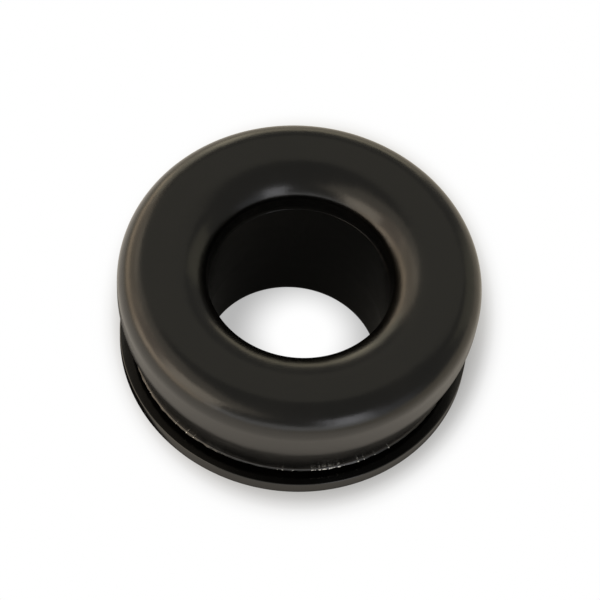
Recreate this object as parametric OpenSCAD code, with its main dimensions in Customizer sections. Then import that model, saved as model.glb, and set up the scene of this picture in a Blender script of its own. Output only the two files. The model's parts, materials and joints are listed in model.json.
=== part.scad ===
// Push-in rubber grommet, moulded in one piece: a thick rounded flange above
// the panel, a narrow groove that closes on the panel's edge, and a barb with
// a tapered nose that is squeezed through the hole. A smooth bore runs through.
// The axis is Z, and the nose stands on Z = 0. Millimetres.

/* [Bore] */
// Diameter of the bore, for the tube or valve that it grips
bore_d = 19.05; // [10:0.05:40]
// Wall between the bore and the floor of the groove, which fills the panel's hole
wall_t = 6.35; // [4.5:0.05:10]
// Radius of the bore's edge at the end of the nose
foot_r = 1.5; // [0.3:0.1:2]

/* [Mouth of the bore] */
// Width of the small ledge where the bore meets the throat
ledge_w = 0.08; // [0.04:0.01:0.3]
// Height of the throat, a slight cone above the ledge
throat_h = 1.6; // [0.5:0.05:4]
// Lean of the throat from upright, in degrees
throat_lean = 5; // [1:1:12]
// Radius of the large roll from the top face down into the mouth
roll_r = 4.5; // [2.5:0.1:5.5]
// How far the large roll turns down before the tighter bend, in degrees
roll_turn = 55; // [40:1:75]
// Radius of the tighter bend from the roll into the throat
throat_bend_r = 1.4; // [0.3:0.1:2]

/* [Upper flange] */
// How far the flange covers the panel, out from the edge of its hole
flange_over = 3.125; // [2:0.125:6]
// Radius of the rounded crown where the top face meets the side
crown_r = 3.2; // [1.5:0.1:4.4]
// Height of the straight side under the crown
side_h = 1.2; // [0.2:0.1:6]
// Height of the tuck, where the side turns inward down to its parting edge
tuck_h = 7.8; // [4.5:0.1:10]
// Lean of the tuck from upright, in degrees
tuck_lean = 13.5; // [6:0.5:20]
// Radius of the bend between the straight side and the tuck
tuck_bend_r = 10; // [1:0.5:12]

/* [Panel groove] */
// Width of the groove, for the thickness of the panel
groove_w = 1.0; // [0.8:0.1:3]
// Radius at the foot of each groove wall
groove_fillet_r = 0.3; // [0.1:0.05:0.35]

/* [Barb and nose] */
// How far the barb reaches out behind the panel, from the edge of its hole
barb_over = 2.875; // [2:0.125:5]
// Height of the barb's rim
rim_h = 1.6; // [1:0.1:4]
// Radius on the two edges of the rim
rim_edge_r = 0.3; // [0.1:0.05:0.45]
// Height of the tapered nose below the rim
nose_h = 6.5; // [3:0.1:10]
// How far the end of the nose lies inside the edge of the hole, so that it enters freely
nose_in = 1.675; // [0.5:0.025:2.5]
// Radius on the outer edge of the nose's end
nose_edge_r = 0.8; // [0.2:0.1:1.2]

/* [Smoothness] */
// Degrees of arc in one step of a rounded edge
arc_step = 5; // [2:1:15]
// Facets of the preview around the axis
$fn = 180; // [48:12:360]

/* [Hidden] */

// Radii of the stages, from the bore outwards
bore_r = bore_d / 2;
groove_r = bore_r + wall_t;
flange_r = groove_r + flange_over;
barb_r = groove_r + barb_over;
nose_r = groove_r - nose_in;

// Heights of the stages, from the end of the nose upwards
barb_z = nose_h;
groove_z = barb_z + rim_h;
parting_z = groove_z + groove_w;
side_z = parting_z + tuck_h;
crown_z = side_z + side_h;
top_z = crown_z + crown_r;

// The tuck is a cone that leaves the straight side by a bend and ends at the parting edge
parting_r = flange_r - tuck_h * tan(tuck_lean) + tuck_bend_r * (1 / cos(tuck_lean) - 1);

// The throat leans out from the ledge and is tangent to its bend, and the bend to the roll
throat_top_r = bore_r + ledge_w + throat_h * tan(throat_lean);
bend_centre_r = throat_top_r + throat_bend_r * cos(throat_lean);
roll_centre_r = bend_centre_r + (roll_r - throat_bend_r) * sin(roll_turn);
roll_centre_z = top_z - roll_r;
bend_centre_z = roll_centre_z + (roll_r - throat_bend_r) * cos(roll_turn);
ledge_z = bend_centre_z + throat_bend_r * sin(throat_lean) - throat_h;

// The taper of the nose, as its lean from upright
nose_lean = atan((barb_r - nose_r) / nose_h);

// Points on an arc about [cr, cz], both ends included, from one angle to another
function arc(cr, cz, radius, from, to) =
    let (steps = max(2, ceil(abs(to - from) / arc_step)))
    [for (i = [0:steps])
        let (a = from + (to - from) * i / steps)
        [cr + radius * cos(a), cz + radius * sin(a)]];

// A corner at [r, z] rounded to the radius. The outline comes in along the angle
// in_dir and leaves along out_dir, both in degrees from the outward direction.
function rounded(r, z, radius, in_dir, out_dir) =
    let (
        turn = (out_dir - in_dir + 540) % 360 - 180,
        side = sign(turn),
        setback = radius * tan(abs(turn) / 2),
        start_r = r - setback * cos(in_dir),
        start_z = z - setback * sin(in_dir),
        centre_r = start_r + side * radius * cos(in_dir + 90),
        centre_z = start_z + side * radius * sin(in_dir + 90)
    )
    arc(centre_r, centre_z, radius, in_dir - side * 90, in_dir - side * 90 + turn);

// Outside of the section, from the end of the nose up to the top face
function outer_edge() = concat(
    rounded(nose_r, 0, nose_edge_r, 0, 90 - nose_lean),
    rounded(barb_r, barb_z, rim_edge_r, 90 - nose_lean, 90),
    rounded(barb_r, groove_z, rim_edge_r, 90, 180),
    rounded(groove_r, groove_z, groove_fillet_r, 180, 90),
    rounded(groove_r, parting_z, groove_fillet_r, 90, 0),
    [[parting_r, parting_z]],
    arc(flange_r - tuck_bend_r, side_z, tuck_bend_r, -tuck_lean, 0),
    arc(flange_r - crown_r, crown_z, crown_r, 0, 90)
);

// Inside of the section, from the top face down the bore to the end of the nose
function inner_edge() = concat(
    arc(roll_centre_r, roll_centre_z, roll_r, 90, 90 + roll_turn),
    arc(bend_centre_r, bend_centre_z, throat_bend_r, 90 + roll_turn, 180 - throat_lean),
    [[bore_r + ledge_w, ledge_z], [bore_r, ledge_z]],
    arc(bore_r + foot_r, foot_r, foot_r, 180, 270)
);

module grommet() {
    color([0.16, 0.16, 0.15])
        rotate_extrude()
            polygon(concat(outer_edge(), inner_edge()));
}

grommet();
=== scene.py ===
import json
import bpy
import numpy as np
from mathutils import Matrix, Vector


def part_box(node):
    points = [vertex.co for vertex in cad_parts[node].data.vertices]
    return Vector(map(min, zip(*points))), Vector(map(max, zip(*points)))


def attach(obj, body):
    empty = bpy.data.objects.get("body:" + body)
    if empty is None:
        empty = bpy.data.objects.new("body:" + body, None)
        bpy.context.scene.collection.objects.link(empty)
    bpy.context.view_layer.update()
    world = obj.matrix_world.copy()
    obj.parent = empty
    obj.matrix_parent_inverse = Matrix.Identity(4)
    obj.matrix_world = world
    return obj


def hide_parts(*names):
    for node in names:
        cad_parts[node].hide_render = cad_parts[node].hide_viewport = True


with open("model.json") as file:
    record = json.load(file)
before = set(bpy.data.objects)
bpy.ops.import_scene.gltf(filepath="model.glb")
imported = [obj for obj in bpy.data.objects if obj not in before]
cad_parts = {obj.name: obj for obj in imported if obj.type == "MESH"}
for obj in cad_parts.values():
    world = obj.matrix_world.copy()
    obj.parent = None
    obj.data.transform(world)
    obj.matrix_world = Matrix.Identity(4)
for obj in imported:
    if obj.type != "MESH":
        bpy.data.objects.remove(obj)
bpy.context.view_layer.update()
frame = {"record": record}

# The grommet is one piece of black rubber, compression moulded: a thick round
# flange, a slit for the panel's edge, a barb on a tapered nose, and a bore. It grips
# the panel by itself. Sizes are in millimetres, and heights go up from the nose's end.
MM = 0.001
low, high = (np.array(corner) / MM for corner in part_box("grommet"))
bore_mount = next(mount for mount in frame["record"]["mounts"] if mount["name"] == "bore")

flange_r = (high[0] - low[0]) / 2
top_z = high[2]
bore_r = bore_mount["dims"]["r_mm"]
wall_t = 6.35
crown_r = 3.2
side_h = 1.2
tuck_h = 7.8
tuck_lean = np.radians(13.5)
tuck_bend_r = 10.0
groove_w = 1.0
groove_fillet_r = 0.3
barb_over = 2.875
rim_h = 1.6
rim_edge_r = 0.3
nose_in = 1.675
nose_edge_r = 0.8
foot_r = 1.5
ledge_w = 0.08
throat_h = 1.6
throat_lean = np.radians(5)
throat_bend_r = 1.4
roll_r = 4.5
roll_turn = np.radians(55)

groove_r = bore_r + wall_t
barb_r = groove_r + barb_over
nose_r = groove_r - nose_in
crown_z = top_z - crown_r
side_z = crown_z - side_h
parting_z = side_z - tuck_h
groove_z = parting_z - groove_w
barb_z = groove_z - rim_h
parting_r = flange_r - tuck_h * np.tan(tuck_lean) + tuck_bend_r * (1 / np.cos(tuck_lean) - 1)
throat_top_r = bore_r + ledge_w + throat_h * np.tan(throat_lean)
bend_at_r = throat_top_r + throat_bend_r * np.cos(throat_lean)
roll_at_r = bend_at_r + (roll_r - throat_bend_r) * np.sin(roll_turn)
roll_at_z = top_z - roll_r
bend_at_z = roll_at_z + (roll_r - throat_bend_r) * np.cos(roll_turn)
ledge_z = bend_at_z + throat_bend_r * np.sin(throat_lean) - throat_h
taper_lean = np.arctan((barb_r - nose_r) / barb_z)


def bend(centre, radius, start, end, count):
    """Count points on a circle: centre + radius * (cos a, sin a), for angles a from start to end."""
    a = np.linspace(start, end, count)
    return np.stack([centre[0] + radius * np.cos(a), centre[1] + radius * np.sin(a)], axis=1)


def rounded(corner, radius, heading_in, heading_out, count):
    """The arc that touches both sides of a corner. It starts radius * tan(half the turn) before
    the corner, and its centre lies one radius beside that start."""
    turn = (heading_out - heading_in + 3 * np.pi) % (2 * np.pi) - np.pi
    side = np.sign(turn)
    setback = radius * np.tan(abs(turn) / 2)
    along = np.array([np.cos(heading_in), np.sin(heading_in)])
    across = np.array([-along[1], along[0]]) * side
    centre = np.array(corner) - setback * along + radius * across
    start = heading_in - side * np.pi / 2
    return bend(centre, radius, start, start + turn, count)


def filled(points, longest):
    """Cuts each straight stretch of a closed outline into equal steps no longer than longest:
    a point at a share of the stretch is (1 - share) * its start + share * its end."""
    following = np.roll(points, -1, axis=0)
    lengths = np.linalg.norm(following - points, axis=1)
    steps = np.maximum(1, np.ceil(lengths / longest)).astype(int)
    share = np.concatenate([np.arange(count) / count for count in steps])[:, None]
    return np.repeat(points, steps, axis=0) * (1 - share) + np.repeat(following, steps, axis=0) * share


# The flash is a thin fin of the same rubber, squeezed out where the mould's halves
# met, at the flange's lower edge. Its points lie outwards and upwards of that edge.
FLASH_REACH = 0.25
FLASH_TORN = 0.14
FLASH_DROOP = 0.02
flash = np.array([[-0.06, 0],
                  [0.02, -0.03],
                  [FLASH_REACH, -0.05],
                  [FLASH_REACH - 0.01, -0.02],
                  [0.03, 0.035],
                  [0.12 * np.tan(tuck_lean), 0.12]]) + [parting_r, parting_z]

# The ledge in the mouth and the barb's upper edge are drawn finer than the solid has
# them, because the ledge shows as a thin line and the edge shows sharp. A point
# beside each corner of the ledge keeps its shading flat.
LEDGE_SEEN = 0.012
LEDGE_GUARD = 0.03
UPPER_EDGE_R = 0.12
ledge = np.array([[LEDGE_SEEN, LEDGE_GUARD],
                  [LEDGE_SEEN, 0],
                  [0, 0],
                  [0, -LEDGE_GUARD]]) + [bore_r, ledge_z]

# The outline goes up the outside, over the top and down the bore. A heading is an
# angle from outwards, and the last number of a bend is how many points it has.
OUT = 0
UP = np.pi / 2
IN = np.pi
DOWN = 1.5 * np.pi
LONGEST_STEP = 0.75
outline = filled(np.concatenate([
    rounded((nose_r, 0), nose_edge_r, OUT, UP - taper_lean, 10),
    rounded((barb_r, barb_z), rim_edge_r, UP - taper_lean, UP, 6),
    rounded((barb_r, groove_z), UPPER_EDGE_R, UP, IN, 9),
    rounded((groove_r, groove_z), groove_fillet_r, IN, UP, 7),
    rounded((groove_r, parting_z), groove_fillet_r, UP, OUT, 7),
    flash,
    bend((flange_r - tuck_bend_r, side_z), tuck_bend_r, -tuck_lean, OUT, 12),
    bend((flange_r - crown_r, crown_z), crown_r, OUT, UP, 32),
    bend((roll_at_r, roll_at_z), roll_r, UP, UP + roll_turn, 28),
    bend((bend_at_r, bend_at_z), throat_bend_r, UP + roll_turn, IN - throat_lean, 10)[1:],
    ledge,
    bend((bore_r + foot_r, foot_r), foot_r, IN, DOWN, 16),
]), LONGEST_STEP)


def waves(angle, seed, lowest, highest):
    """A smooth closed wobble between -1 and 1: a sum of cosines of whole numbers of turns,
    with seeded phases and weights, divided by its largest value."""
    dice = np.random.default_rng(seed)
    turns = np.arange(lowest, highest)
    phases = dice.uniform(0, 2 * np.pi, len(turns))
    weights = dice.uniform(0.3, 1.0, len(turns))
    total = (weights[:, None] * np.cos(turns[:, None] * angle + phases[:, None])).sum(axis=0)
    return total / np.abs(total).max()


# The outline is carried round the axis, closed both ways, so the body has no seam
# and no pole. Only the flash's edge varies: it is torn back and droops unevenly.
SPOKES = 440
FLASH_HALF_H = 0.06
FLASH_EDGE = 0.15
FLASH_LEFT = 0.55
FINE_TEAR = 0.45
BROAD_TEAR = 0.35
turn_angle = np.linspace(0, 2 * np.pi, SPOKES, endpoint=False)
radius = np.repeat(outline[:, 0:1], SPOKES, axis=1)
height = np.repeat(outline[:, 1:2], SPOKES, axis=1)
near_parting = np.abs(outline[:, 1] - parting_z) < FLASH_HALF_H
flash_edge = near_parting & (outline[:, 0] > parting_r + FLASH_EDGE)
tear = FINE_TEAR * waves(turn_angle, 3, 20, 120) + BROAD_TEAR * waves(turn_angle, 4, 3, 12)
radius[flash_edge] -= FLASH_TORN * (1 - np.clip(FLASH_LEFT + tear, 0, 1))
height[flash_edge] -= FLASH_DROOP * np.clip(waves(turn_angle, 5, 30, 90), 0, 1)

points = np.stack([radius * np.cos(turn_angle), radius * np.sin(turn_angle), height], axis=-1) * MM
ring, spoke = np.meshgrid(np.arange(len(outline)), np.arange(SPOKES), indexing="ij")
next_ring = (ring + 1) % len(outline)
next_spoke = (spoke + 1) % SPOKES
corners = [(ring, spoke), (ring, next_spoke), (next_ring, next_spoke), (next_ring, spoke)]
faces = np.stack([at_ring * SPOKES + at_spoke for at_ring, at_spoke in corners], axis=-1)
body_mesh = bpy.data.meshes.new("moulded_body")
body_mesh.from_pydata(points.reshape(-1, 3).tolist(), [], faces.reshape(-1, 4).tolist())
body_mesh.shade_smooth()
body = bpy.data.objects.new("moulded_body", body_mesh)
bpy.context.scene.collection.objects.link(body)


def linear(hex_colour):
    """An sRGB hex colour as linear red, green, blue and 1."""
    value = np.array([int(hex_colour[i:i + 2], 16) for i in (1, 3, 5)]) / 255
    return (*np.where(value <= 0.04045, value / 12.92, ((value + 0.055) / 1.055) ** 2.4), 1.0)


def add(tree, kind, settings, links, stops=()):
    """Adds a node. Settings are its properties or the values of its inputs, links lead into its
    inputs, and stops are the places and colours of a ramp. A number is the place of an input."""
    new = tree.nodes.new(kind)
    for name, value in settings.items():
        if name in new.inputs.keys() or isinstance(name, int):
            new.inputs[name].default_value = value
        else:
            setattr(new, name, value)
    for name, output in links.items():
        tree.links.new(output, new.inputs[name])
    for _ in stops[2:]:
        new.color_ramp.elements.new(0.5)
    for number, (position, colour) in enumerate(stops):
        new.color_ramp.elements[number].position = position
        new.color_ramp.elements[number].color = colour
    return new


# Black nitrile rubber, compression moulded in a polished steel mould: near black and
# smooth, with a soft, slightly uneven sheen and a fine pebbling, drawn as coarse as
# two pixels of the picture. The barb is glossier: it keeps a part of the roughness.
RUBBER_IOR = 1.6
DARKEST = "#020202"
PALEST = "#080706"
MOTTLE = 5 * MM
SWELL = 4 * MM
SWELL_HEIGHT = 0.06 * MM
GRAIN = 0.22 * MM
GRAIN_HEIGHT = 0.006 * MM
NOISE_LOW = 0.3
NOISE_HIGH = 0.7
ROUGHNESS_LOW = 0.22
ROUGHNESS_HIGH = 0.27
KEPT_ON_BARB = 0.4
GLOSS_FADE = 0.1
rubber = bpy.data.materials.new("moulded_nitrile_rubber")
rubber.use_nodes = True
tree = rubber.node_tree
tree.nodes.clear()
place = add(tree, "ShaderNodeTexCoord", {}, {}).outputs["Object"]
axes = add(tree, "ShaderNodeSeparateXYZ", {}, {"Vector": place}).outputs
mottle = add(tree, "ShaderNodeTexNoise", {"Scale": 1 / MOTTLE, "Detail": 4.0, "Roughness": 0.6},
             {"Vector": place})
black = add(tree, "ShaderNodeValToRGB", {}, {"Fac": mottle.outputs["Fac"]},
            [(NOISE_LOW, linear(DARKEST)), (NOISE_HIGH, linear(PALEST))])
sheen = add(tree, "ShaderNodeMapRange", {"From Min": NOISE_LOW, "From Max": NOISE_HIGH,
                                         "To Min": ROUGHNESS_LOW, "To Max": ROUGHNESS_HIGH},
            {"Value": mottle.outputs["Fac"]})
on_barb = add(tree, "ShaderNodeMapRange", {"From Min": (groove_z + GLOSS_FADE) * MM,
                                           "From Max": (groove_z - GLOSS_FADE) * MM,
                                           "To Min": 1.0, "To Max": KEPT_ON_BARB}, {"Value": axes["Z"]})
gloss = add(tree, "ShaderNodeMath", {"operation": "MULTIPLY"},
            {0: sheen.outputs["Result"], 1: on_barb.outputs["Result"]})
swell = add(tree, "ShaderNodeTexNoise", {"Scale": 1 / SWELL, "Detail": 2.0}, {"Vector": place})
grain = add(tree, "ShaderNodeTexNoise", {"Scale": 1 / GRAIN, "Detail": 2.0}, {"Vector": place})
swollen = add(tree, "ShaderNodeBump", {"Strength": 1.0, "Distance": SWELL_HEIGHT},
              {"Height": swell.outputs["Fac"]})
pebbled = add(tree, "ShaderNodeBump", {"Strength": 1.0, "Distance": GRAIN_HEIGHT},
              {"Height": grain.outputs["Fac"], "Normal": swollen.outputs["Normal"]})

# Pale specks on the flash's edge are painted glints, a painted highlight. They lie
# thickest where the level is highest, at bearings in degrees to the right of the front,
# where the front lamps glint. A speck is where a noise along the bearing rises above a threshold.
GLINT_SPECK_COLOUR = "#f0f0ec"
GLINT_SPECK_LEVELS = [(-63, 0.0), (-45, 0.0), (-37, 0.1), (-31, 0.32), (-27, 0.15), (-17, 0.0), (-1, 0.05),
                (4, 0.35), (8, 0.25), (13, 0.95), (20, 0.95), (23, 0.4), (35, 0.2), (52, 0.05), (77, 0.0)]
SPECK_LENGTH = 0.4
SPECK_SOFTNESS = 0.06
THRESHOLD_BARE = 0.74
THRESHOLD_THICK = 0.44
SPECKS_FROM_R = parting_r + 0.13
SPECKS_Z = parting_z - 0.02
SPECKS_HALF_H = 0.05
backward = add(tree, "ShaderNodeMath", {"operation": "MULTIPLY", 1: -1.0}, {0: axes["Y"]})
bearing = add(tree, "ShaderNodeMath", {"operation": "ARCTAN2"}, {0: axes["X"], 1: backward.outputs[0]})
across_front = add(tree, "ShaderNodeMapRange", {"From Min": -np.pi / 2, "From Max": np.pi / 2},
                   {"Value": bearing.outputs[0]})
glint_level = add(tree, "ShaderNodeValToRGB", {}, {"Fac": across_front.outputs[0]},
           [(0.5 + degrees / 180, (level, level, level, 1)) for degrees, level in GLINT_SPECK_LEVELS])
threshold = add(tree, "ShaderNodeMapRange", {"To Min": THRESHOLD_BARE, "To Max": THRESHOLD_THICK},
                {"Value": glint_level.outputs["Color"]})
speck_noise = add(tree, "ShaderNodeTexNoise", {"noise_dimensions": "1D", "Detail": 1.0,
                                          "Scale": np.pi * parting_r / SPECK_LENGTH},
             {"W": across_front.outputs[0]})
above = add(tree, "ShaderNodeMath", {"operation": "SUBTRACT"},
            {0: speck_noise.outputs["Fac"], 1: threshold.outputs["Result"]})
specks = add(tree, "ShaderNodeMapRange", {"From Min": 0.0, "From Max": SPECK_SOFTNESS},
             {"Value": above.outputs[0]})
flat_place = add(tree, "ShaderNodeCombineXYZ", {}, {"X": axes["X"], "Y": axes["Y"]})
from_axis = add(tree, "ShaderNodeVectorMath", {"operation": "LENGTH"}, {"Vector": flat_place.outputs[0]})
at_edge = add(tree, "ShaderNodeMath", {"operation": "GREATER_THAN", 1: SPECKS_FROM_R * MM},
              {0: from_axis.outputs["Value"]})
on_fin = add(tree, "ShaderNodeMath", {"operation": "COMPARE", 1: SPECKS_Z * MM, 2: SPECKS_HALF_H * MM},
             {0: axes["Z"]})
fin_specks = add(tree, "ShaderNodeMath", {"operation": "MULTIPLY"},
                 {0: specks.outputs["Result"], 1: on_fin.outputs[0]})
painted_glint_specks = add(tree, "ShaderNodeMath", {"operation": "MULTIPLY"},
                  {0: fin_specks.outputs[0], 1: at_edge.outputs[0]})

# Here the painted glints, pale specks, go into the rubber's colour.
# A Mix node's inputs 6 and 7 are its two colours, and its output 2 is their mix.
rubber_with_painted_glints = add(tree, "ShaderNodeMix", {"data_type": "RGBA", 7: linear(GLINT_SPECK_COLOUR)},
               {0: painted_glint_specks.outputs[0], 6: black.outputs["Color"]})
skin = add(tree, "ShaderNodeBsdfPrincipled", {"IOR": RUBBER_IOR, "Metallic": 0.0},
           {"Base Color": rubber_with_painted_glints.outputs[2], "Roughness": gloss.outputs[0],
            "Normal": pebbled.outputs["Normal"]})
add(tree, "ShaderNodeOutputMaterial", {}, {"Surface": skin.outputs["BSDF"]})
body_mesh.materials.append(rubber)
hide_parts("grommet")
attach(body, "root")

# The table is a sheet of matt white card, 8 metres wide, seen and mirrored a little
# whiter than it is lit, as in a picture cut out on white. It keeps the grommet's
# soft shadow, partly cast by the lamps and partly painted.
FLOOR_HALF = 4.0
MATT_WHITE = "#e8e8e8"
# The two darker matt greys are painted shade on the card.
MATT_PAINTED_SHADE = "#c8c8c8"
MATT_PAINTED_DARK_SHADE = "#202020"
floor_mesh = bpy.data.meshes.new("white_card")
floor_mesh.from_pydata([(-FLOOR_HALF, -FLOOR_HALF, 0), (FLOOR_HALF, -FLOOR_HALF, 0),
                        (FLOOR_HALF, FLOOR_HALF, 0), (-FLOOR_HALF, FLOOR_HALF, 0)], [], [(0, 1, 2, 3)])
floor = bpy.data.objects.new("white_card", floor_mesh)
bpy.context.scene.collection.objects.link(floor)
card = bpy.data.materials.new("white_card")
card.use_nodes = True
tree = card.node_tree
tree.nodes.clear()
where = add(tree, "ShaderNodeTexCoord", {}, {}).outputs["Object"]
ray = add(tree, "ShaderNodeLightPath", {}, {}).outputs

# What the camera sees: plain white by a share, and lit card for the rest. The share
# falls off in a painted shadow round the nose, and in painted shade inside the bore towards its wall.
HOLE_R = 12.5
PAINTED_HOLE_BRIGHT_AT = (1.0 * MM, 4.0 * MM, 0)
HOLE_BRIGHT_R = 2.5
HOLE_DIM_R = 8.5
HOLE_PAINTED_SHADE_SHARE = 0.45
PAINTED_SHADOW_AT = (0.8 * MM, 7.7 * MM, 0)
SHADOW_SCALE = (1, 0.85, 0)
RAMP_END = 60.0
PAINTED_SHADOW_LEVELS = [(19.0, 0.30), (20.5, 0.52), (21.5, 0.80), (22.5, 0.96), (24, 1.0)]
from_middle = add(tree, "ShaderNodeVectorMath", {"operation": "LENGTH"}, {"Vector": where})
outside = add(tree, "ShaderNodeMath", {"operation": "GREATER_THAN", 1: HOLE_R * MM},
              {0: from_middle.outputs["Value"]})
from_light = add(tree, "ShaderNodeVectorMath", {"operation": "DISTANCE", 1: PAINTED_HOLE_BRIGHT_AT}, {0: where})
# Painted shade inside the bore: the white share falls towards the wall.
hole_share_with_painted_shade = add(tree, "ShaderNodeMapRange", {"interpolation_type": "SMOOTHSTEP",
                                           "From Min": HOLE_BRIGHT_R * MM, "From Max": HOLE_DIM_R * MM,
                                           "To Min": 1.0, "To Max": HOLE_PAINTED_SHADE_SHARE},
              {"Value": from_light.outputs["Value"]})
beside = add(tree, "ShaderNodeVectorMath", {"operation": "SUBTRACT", 1: PAINTED_SHADOW_AT}, {0: where})
rounder = add(tree, "ShaderNodeVectorMath", {"operation": "MULTIPLY", 1: SHADOW_SCALE},
              {0: beside.outputs[0]})
from_shadow = add(tree, "ShaderNodeVectorMath", {"operation": "LENGTH"}, {0: rounder.outputs[0]})
shadow_part = add(tree, "ShaderNodeMath", {"operation": "DIVIDE", 1: RAMP_END * MM},
                  {0: from_shadow.outputs["Value"]})
# Painted shadow round the nose: a ramp of the white share by distance.
painted_nose_shadow = add(tree, "ShaderNodeValToRGB", {}, {"Fac": shadow_part.outputs[0]},
                 [(at / RAMP_END, (level, level, level, 1)) for at, level in PAINTED_SHADOW_LEVELS])
painted_nose_shadow.color_ramp.interpolation = "CARDINAL"
seen_share = add(tree, "ShaderNodeMix", {"data_type": "FLOAT"},
                 {0: outside.outputs[0], 2: hole_share_with_painted_shade.outputs[0], 3: painted_nose_shadow.outputs["Color"]})
seen = add(tree, "ShaderNodeMath", {"operation": "MULTIPLY"},
           {0: seen_share.outputs[0], 1: ray["Is Camera Ray"]})

# What the rubber mirrors: the same white with painted shade, less of it close to the
# grommet and none under the barb, where little light gets in. The bore mirrors the card as it
# is lit. Distances are in millimetres.
MIRROR_AT = (0.3 * MM, 0, 0)
PAINTED_MIRROR_SHADE_LEVELS = [(18.5, 0.0), (20.2, 0.13), (21.6, 0.26), (23.0, 0.38), (25.8, 0.47), (29.3, 0.78),
                 (34, 1.0)]
UNDER_AT = (-2.6 * MM, 3.0 * MM, 0)
UNDER_R = 21.2
PAST_UNDER_R = 22.4
from_mirror = add(tree, "ShaderNodeVectorMath", {"operation": "DISTANCE", 1: MIRROR_AT}, {0: where})
mirror_part = add(tree, "ShaderNodeMath", {"operation": "DIVIDE", 1: RAMP_END * MM},
                  {0: from_mirror.outputs["Value"]})
# Painted shade in what the rubber mirrors, round the flange and under the barb.
painted_flange_shade = add(tree, "ShaderNodeValToRGB", {}, {"Fac": mirror_part.outputs[0]},
                   [(at / RAMP_END, (level, level, level, 1)) for at, level in PAINTED_MIRROR_SHADE_LEVELS])
painted_flange_shade.color_ramp.interpolation = "CARDINAL"
from_under = add(tree, "ShaderNodeVectorMath", {"operation": "DISTANCE", 1: UNDER_AT}, {0: where})
past_painted_under_shade = add(tree, "ShaderNodeMapRange", {"interpolation_type": "SMOOTHSTEP",
                                              "From Min": UNDER_R * MM, "From Max": PAST_UNDER_R * MM},
                 {"Value": from_under.outputs["Value"]})
share_with_painted_shade = add(tree, "ShaderNodeMath", {"operation": "MULTIPLY"},
               {0: painted_flange_shade.outputs["Color"], 1: past_painted_under_shade.outputs[0]})
mirrored = add(tree, "ShaderNodeMath", {"operation": "MULTIPLY"},
               {0: share_with_painted_shade.outputs[0], 1: ray["Is Glossy Ray"]})
white_share = add(tree, "ShaderNodeMath", {"operation": "ADD"}, {0: seen.outputs[0], 1: mirrored.outputs[0]})

# The lit card's colour holds painted shade: greyer close to the grommet, and nearly
# black where the flange and the barb mirror it from close by.
mirrored_near = add(tree, "ShaderNodeMath", {"operation": "MULTIPLY"},
                    {0: outside.outputs[0], 1: ray["Is Glossy Ray"]})
painted_shade_colour = add(tree, "ShaderNodeMix", {"data_type": "RGBA", 6: linear(MATT_PAINTED_SHADE), 7: linear(MATT_PAINTED_DARK_SHADE)},
             {0: mirrored_near.outputs[0]})
card_colour_with_painted_shade = add(tree, "ShaderNodeMix", {"data_type": "RGBA", 7: linear(MATT_WHITE)},
           {0: share_with_painted_shade.outputs[0], 6: painted_shade_colour.outputs[2]})
lit_card = add(tree, "ShaderNodeBsdfDiffuse", {}, {"Color": card_colour_with_painted_shade.outputs[2]})

# The white is pure to the camera. In reflections it is warm, with a painted pool of
# light: it gets dimmer away from the bright side of the table, the left front.
WHITE = "#ffffff"
WARM_WHITE = "#fff5e6"
DIM_WHITE = "#dcd1bc"
PAINTED_POOL_CENTRE = (-70.0 * MM, -70.0 * MM, 0)
BRIGHT_R = 98
DIM_R = 160
from_side = add(tree, "ShaderNodeVectorMath", {"operation": "DISTANCE", 1: PAINTED_POOL_CENTRE}, {0: where})
outside_painted_pool = add(tree, "ShaderNodeMapRange", {"interpolation_type": "SMOOTHSTEP",
                                            "From Min": BRIGHT_R * MM, "From Max": DIM_R * MM},
               {"Value": from_side.outputs["Value"]})
# A painted pool of light: warm white near the left front, dimmer away from it.
warm_painted_pool = add(tree, "ShaderNodeMix", {"data_type": "RGBA", 6: linear(WARM_WHITE), 7: linear(DIM_WHITE)},
           {0: outside_painted_pool.outputs["Result"]})
tint = add(tree, "ShaderNodeMix", {"data_type": "RGBA", 7: linear(WHITE)},
           {0: ray["Is Camera Ray"], 6: warm_painted_pool.outputs[2]})
plain_white = add(tree, "ShaderNodeEmission", {"Strength": 1.0}, {"Color": tint.outputs[2]})
table_top = add(tree, "ShaderNodeMixShader", {},
                {0: white_share.outputs[0], 1: lit_card.outputs[0], 2: plain_white.outputs[0]})
add(tree, "ShaderNodeOutputMaterial", {}, {"Surface": table_top.outputs[0]})
floor_mesh.materials.append(card)

# The lamps are the soft boxes of a small studio: large white cloths with a lamp
# behind, standing round the table. Those on the left and at the back are warm, and
# those in front are white or a little blue, apart from the left front ones.
LAMP_DISTANCE = 1.6


def soft_box(name, bearing, elevation, wide, tall, level, hex_colour):
    """A rectangular lamp at a bearing, in degrees to the right of the front, and an elevation.
    It fills wide by tall degrees. Its power is level * pi * its area, so a level of 1 is as
    bright as white."""
    b, e = np.radians([bearing, elevation])
    towards = Vector((np.sin(b) * np.cos(e), -np.cos(b) * np.cos(e), np.sin(e)))
    lamp = bpy.data.lights.new(name, "AREA")
    lamp.shape = "RECTANGLE"
    lamp.size = 2 * LAMP_DISTANCE * np.tan(np.radians(wide / 2))
    lamp.size_y = 2 * LAMP_DISTANCE * np.tan(np.radians(tall / 2))
    lamp.energy = level * np.pi * lamp.size * lamp.size_y
    lamp.color = linear(hex_colour)[:3]
    holder = bpy.data.objects.new(name, lamp)
    holder.location = towards * LAMP_DISTANCE
    holder.rotation_euler = towards.to_track_quat("Z", "Y").to_euler()
    bpy.context.scene.collection.objects.link(holder)


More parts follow.
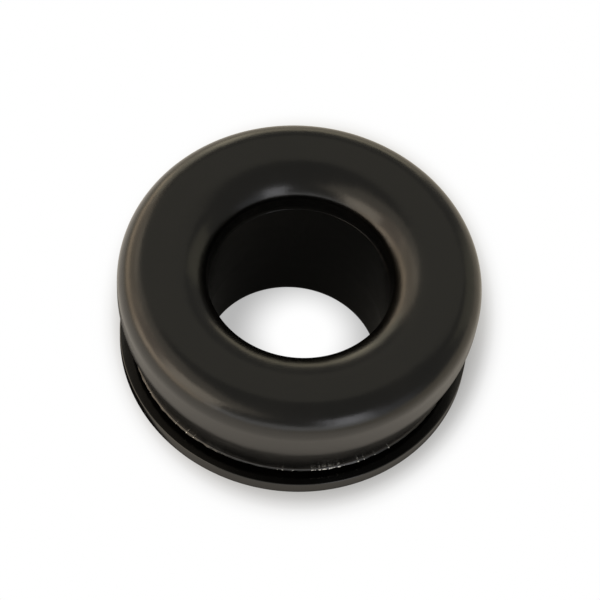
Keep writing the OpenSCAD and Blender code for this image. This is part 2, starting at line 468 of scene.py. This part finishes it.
soft_box("left_front_box", -50, 26, 32, 24, 2.15, "#fff0da")
soft_box("left_box", -84, 24, 34, 40, 0.80, "#ffe8cf")
soft_box("left_back_box", -122, 22, 40, 40, 0.86, "#ffeacc")
soft_box("left_low_box", -95, 8, 110, 16, 1.2, "#ffe0b8")
soft_box("left_high_box", -75, 54, 90, 20, 0.51, "#fff1da")
soft_box("back_left_box", -155, 12, 26, 24, 0.95, "#fff5d8")
soft_box("back_low_box", 180, 7, 44, 14, 1.05, "#fff1cd")
soft_box("back_high_box", 180, 58, 70, 30, 0.20, "#fff8e0")
soft_box("right_back_box", 122, 18, 34, 32, 0.30, "#fff6d0")
soft_box("right_front_box", 55, 12, 26, 24, 0.25, "#e8f0ff")
soft_box("front_right_box", 33, 24, 18, 23, 2.1, "#f6f6fc")
soft_box("front_low_box", 3, 8, 84, 16, 0.90, "#ffffff")
soft_box("left_front_low_box", -62, 7, 60, 15, 0.90, "#fff0dc")

# The room round the table is plain grey, and lights what the soft boxes leave out.
ROOM_GREY = "#888680"
world = bpy.data.worlds.new("dim_room")
world.use_nodes = True
world.node_tree.nodes.clear()
room = add(world.node_tree, "ShaderNodeBackground", {"Color": linear(ROOM_GREY), "Strength": 1.0}, {})
add(world.node_tree, "ShaderNodeOutputWorld", {}, {"Surface": room.outputs[0]})
bpy.context.scene.world = world

# The camera stands in front and above, at the photograph's angle and distance, and
# is held a little crooked. Its distance is counted from a point on the axis, and it
# aims a little above that point.
CAMERA_DISTANCE = 247 * MM
CAMERA_ELEVATION = np.radians(59.53)
CAMERA_ORBIT = Vector((0, 0, 8 * MM))
CAMERA_AIM = Vector((0.25 * MM, 0, 14.2 * MM))
CAMERA_ROLL = np.radians(6.88)
SENSOR_WIDTH = 36
LENS = 137.4
CLIP_START = 0.01
camera_data = bpy.data.cameras.new("camera")
camera_data.sensor_width = SENSOR_WIDTH
camera_data.lens = LENS
camera_data.clip_start = CLIP_START
camera = bpy.data.objects.new("camera", camera_data)
away = Vector((0, -np.cos(CAMERA_ELEVATION), np.sin(CAMERA_ELEVATION)))
camera.location = CAMERA_ORBIT + CAMERA_DISTANCE * away
looking = (CAMERA_AIM - camera.location).to_track_quat("-Z", "Y").to_matrix()
rolled = looking @ Matrix.Rotation(CAMERA_ROLL, 3, "Z")
camera.rotation_euler = rolled.to_euler()
bpy.context.scene.collection.objects.link(camera)
bpy.context.scene.camera = camera
bpy.context.scene.view_settings.view_transform = "Standard"
